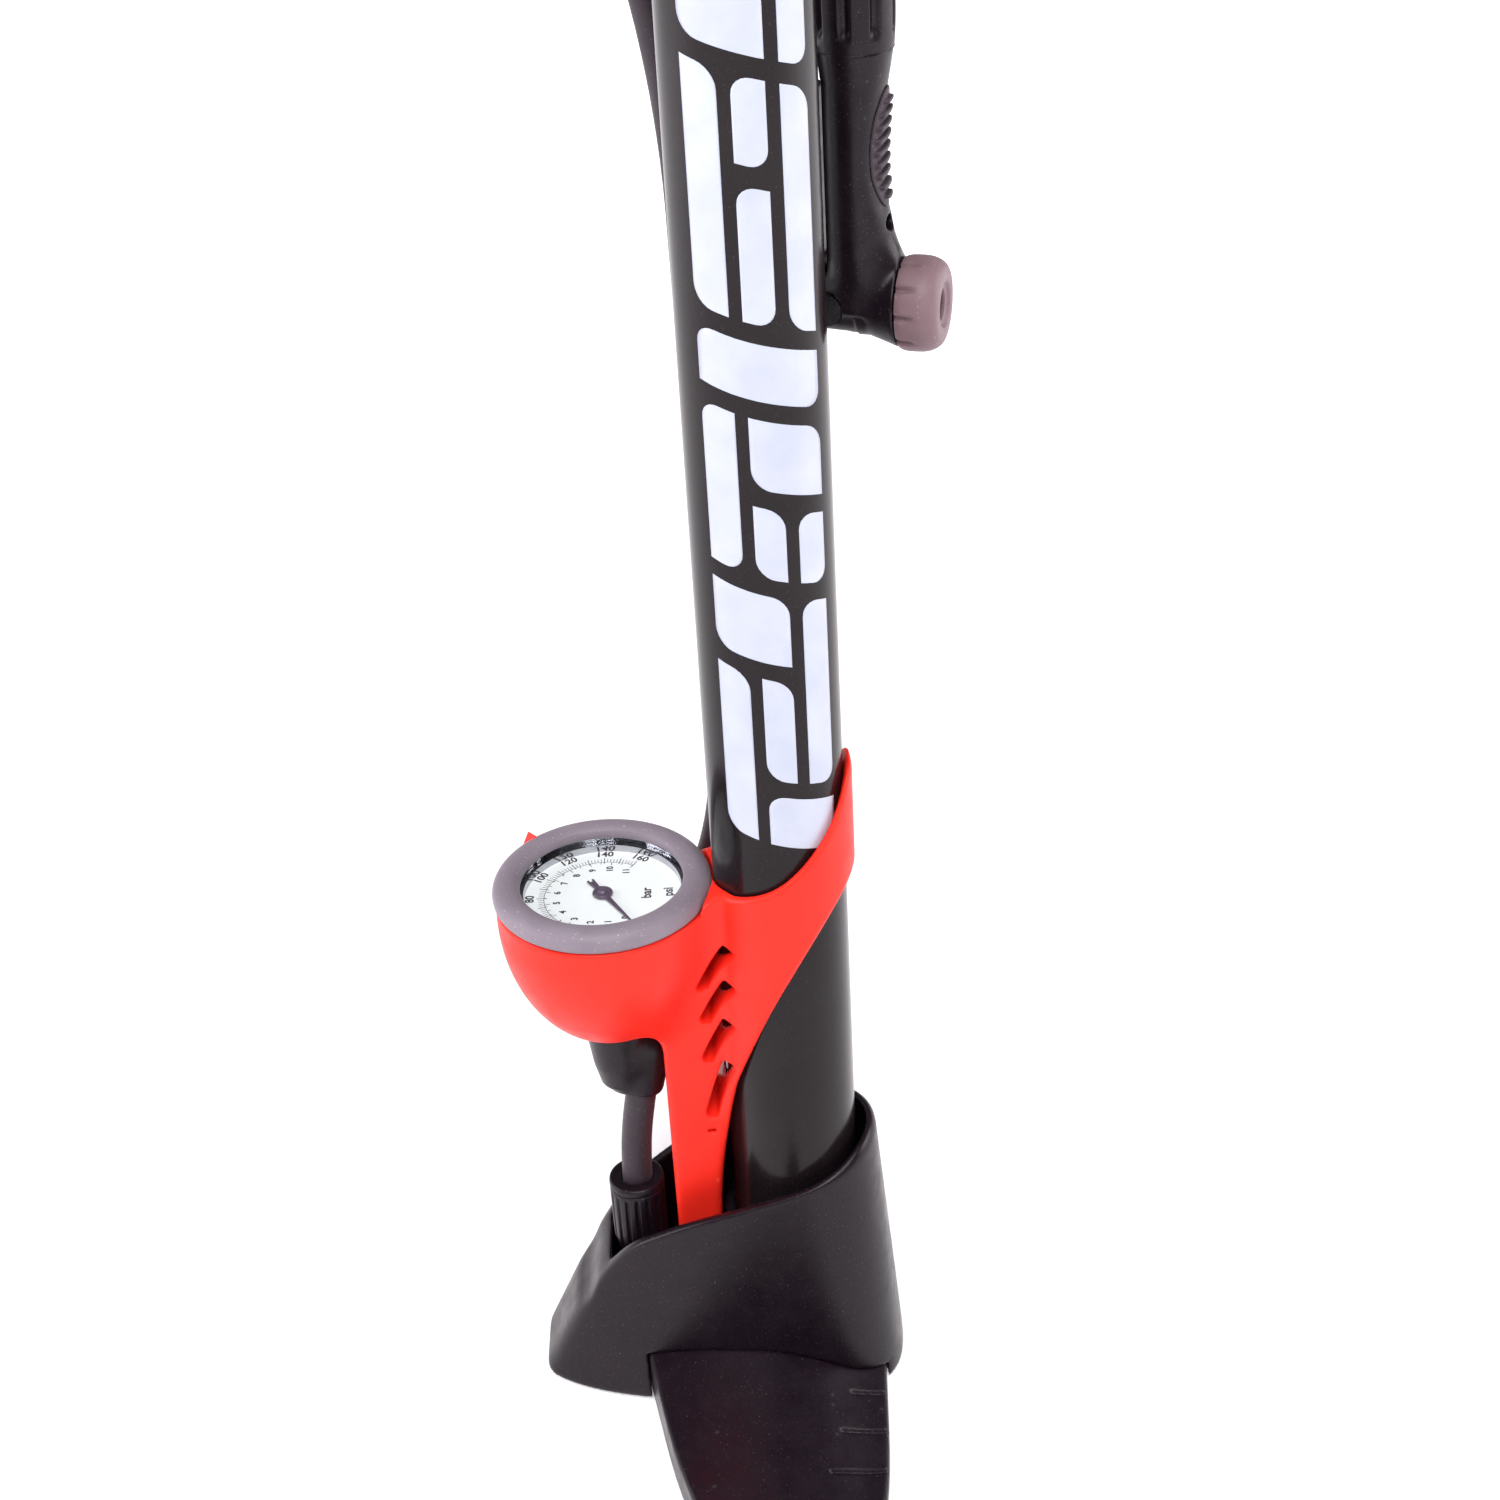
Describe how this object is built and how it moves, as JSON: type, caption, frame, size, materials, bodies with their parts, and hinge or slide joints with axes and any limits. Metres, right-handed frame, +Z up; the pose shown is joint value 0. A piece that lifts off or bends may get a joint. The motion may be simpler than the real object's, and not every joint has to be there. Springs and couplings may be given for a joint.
{
  "type": "floor bike pump",
  "caption": "Upright floor pump with a sliding T handle, two foot rests, a dial gauge in a bowl at the base, and a hose with a lever valve head.",
  "frame": {"origin": "on the barrel's axis, at the floor under the foot pads", "axes": "+Z up along the barrel, -Y towards the gauge, +X along a foot rest"},
  "size_m": [0.236, 0.1435, 0.641],
  "materials": {
    "body_black": "fine moulded texture, satin",
    "foot_black": "fine moulded texture, satin",
    "barrel_paint": "gloss black paint",
    "red_plastic": "satin orange-red moulding",
    "bezel_grey": "soft matt grey",
    "hose_rubber": "matt black rubber",
    "head_black": "satin black moulding",
    "nut_mauve": "matt mauve-grey",
    "grip_rubber": "soft matt grey",
    "steel": "zinc plated",
    "chromed": "polished",
    "brass": "machined",
    "dial_white": "matt white print",
    "needle_grey": "matt dark grey",
    "lens_clear": "clear polycarbonate",
    "seal_rubber": "greased nitrile",
    "piston_white": "acetal",
    "pad_rubber": "matt black"
  },
  "bodies": {
    "pump": {"base_body": "body_black", "foot_plate": "foot_black", "foot_pads": "pad_rubber", "base_screws": "steel", "bracket_screw": "steel", "barrel": "barrel_paint", "barrel_seal": "seal_rubber", "valve_seat": "brass", "check_spring": "steel", "outlet_barb": "brass", "hose_nut": "head_black", "lower_hose": "hose_rubber", "main_hose": "hose_rubber", "gauge_tee": "head_black", "gauge_bracket": "red_plastic", "gauge_stem": "brass", "gauge_case": "chromed", "gauge_frame": "brass", "bourdon_tube": "brass", "gauge_dial": "dial_white", "gauge_ring": "chromed", "gauge_lens": "lens_clear", "top_cap": "body_black", "rod_bushing": "piston_white", "head_body": "head_black", "lever_pin": "chromed", "head_grommet": "seal_rubber", "grip_pad": "pad_rubber", "hose_ferrule": "head_black"},
    "slider": {"piston_seal": "seal_rubber"},
    "handle": {"piston": "piston_white", "piston_nut": "steel", "piston_rod": "chromed", "rod_bumper": "seal_rubber", "handle_bumper": "seal_rubber", "handle_core": "body_black", "handle_screw": "steel", "grip_left": "grip_rubber", "grip_right": "grip_rubber", "grip_cap_left": "body_black", "grip_cap_right": "body_black"},
    "poppet": {"check_poppet": "seal_rubber"},
    "sector": {"gauge_sector": "brass"},
    "needle": {"gauge_pinion": "steel", "gauge_needle": "needle_grey"},
    "bezel": {"gauge_bezel": "bezel_grey", "bezel_marker": "red_plastic"},
    "lever": {"head_lever": "head_black"},
    "plunger": {"head_plunger": "piston_white"},
    "nozzle_nut": {"valve_nut": "nut_mauve"}
  },
  "joints": [
    {"name": "pump_stroke", "type": "slide", "parent": "pump", "child": "slider", "axis": [0, 0, 1], "range_m": [0, 0.5]},
    {"name": "handle_turn", "type": "hinge", "parent": "slider", "child": "handle", "pos_m": [0, 0, 0.3], "axis": [0, 0, 1], "continuous": true},
    {"name": "check_lift", "type": "slide", "parent": "pump", "child": "poppet", "axis": [0, 0, -1], "range_m": [0, 0.0015], "stiffness_N_per_m": 150, "springref_m": -0.002, "deforming": ["check_spring"]},
    {"name": "sector_turn", "type": "hinge", "parent": "pump", "child": "sector", "pos_m": [-0.0165, -0.0508, 0.1665], "axis": [0, 0, 1], "range_deg": [0, 24], "stiffness_Nm_per_rad": 0.02},
    {"name": "needle_turn", "type": "hinge", "parent": "pump", "child": "needle", "pos_m": [0, -0.0508, 0.1755], "axis": [0, 0, 1], "range_deg": [-240, 0]},
    {"name": "bezel_turn", "type": "hinge", "parent": "pump", "child": "bezel", "pos_m": [0, -0.0508, 0.1795], "axis": [0, 0, 1], "range_deg": [-80, 170]},
    {"name": "lever_turn", "type": "hinge", "parent": "pump", "child": "lever", "pos_m": [-0.03132, 0.02237, 0.3385], "axis": [0.9511, -0.309, 0], "range_deg": [0, 90]},
    {"name": "plunger_slide", "type": "slide", "parent": "pump", "child": "plunger", "axis": [0.309, 0.9511, 0], "range_m": [0, 0.002]},
    {"name": "nut_turn", "type": "hinge", "parent": "pump", "child": "nozzle_nut", "pos_m": [-0.02375, 0.04567, 0.3385], "axis": [0.309, 0.9511, 0], "range_deg": [-180, 180]}
  ],
  "couplings": [
    {"joint": "needle_turn", "follows": "sector_turn", "ratio": -10},
    {"joint": "plunger_slide", "follows": "lever_turn", "m_per_rad": 0.0012732}
  ]
}
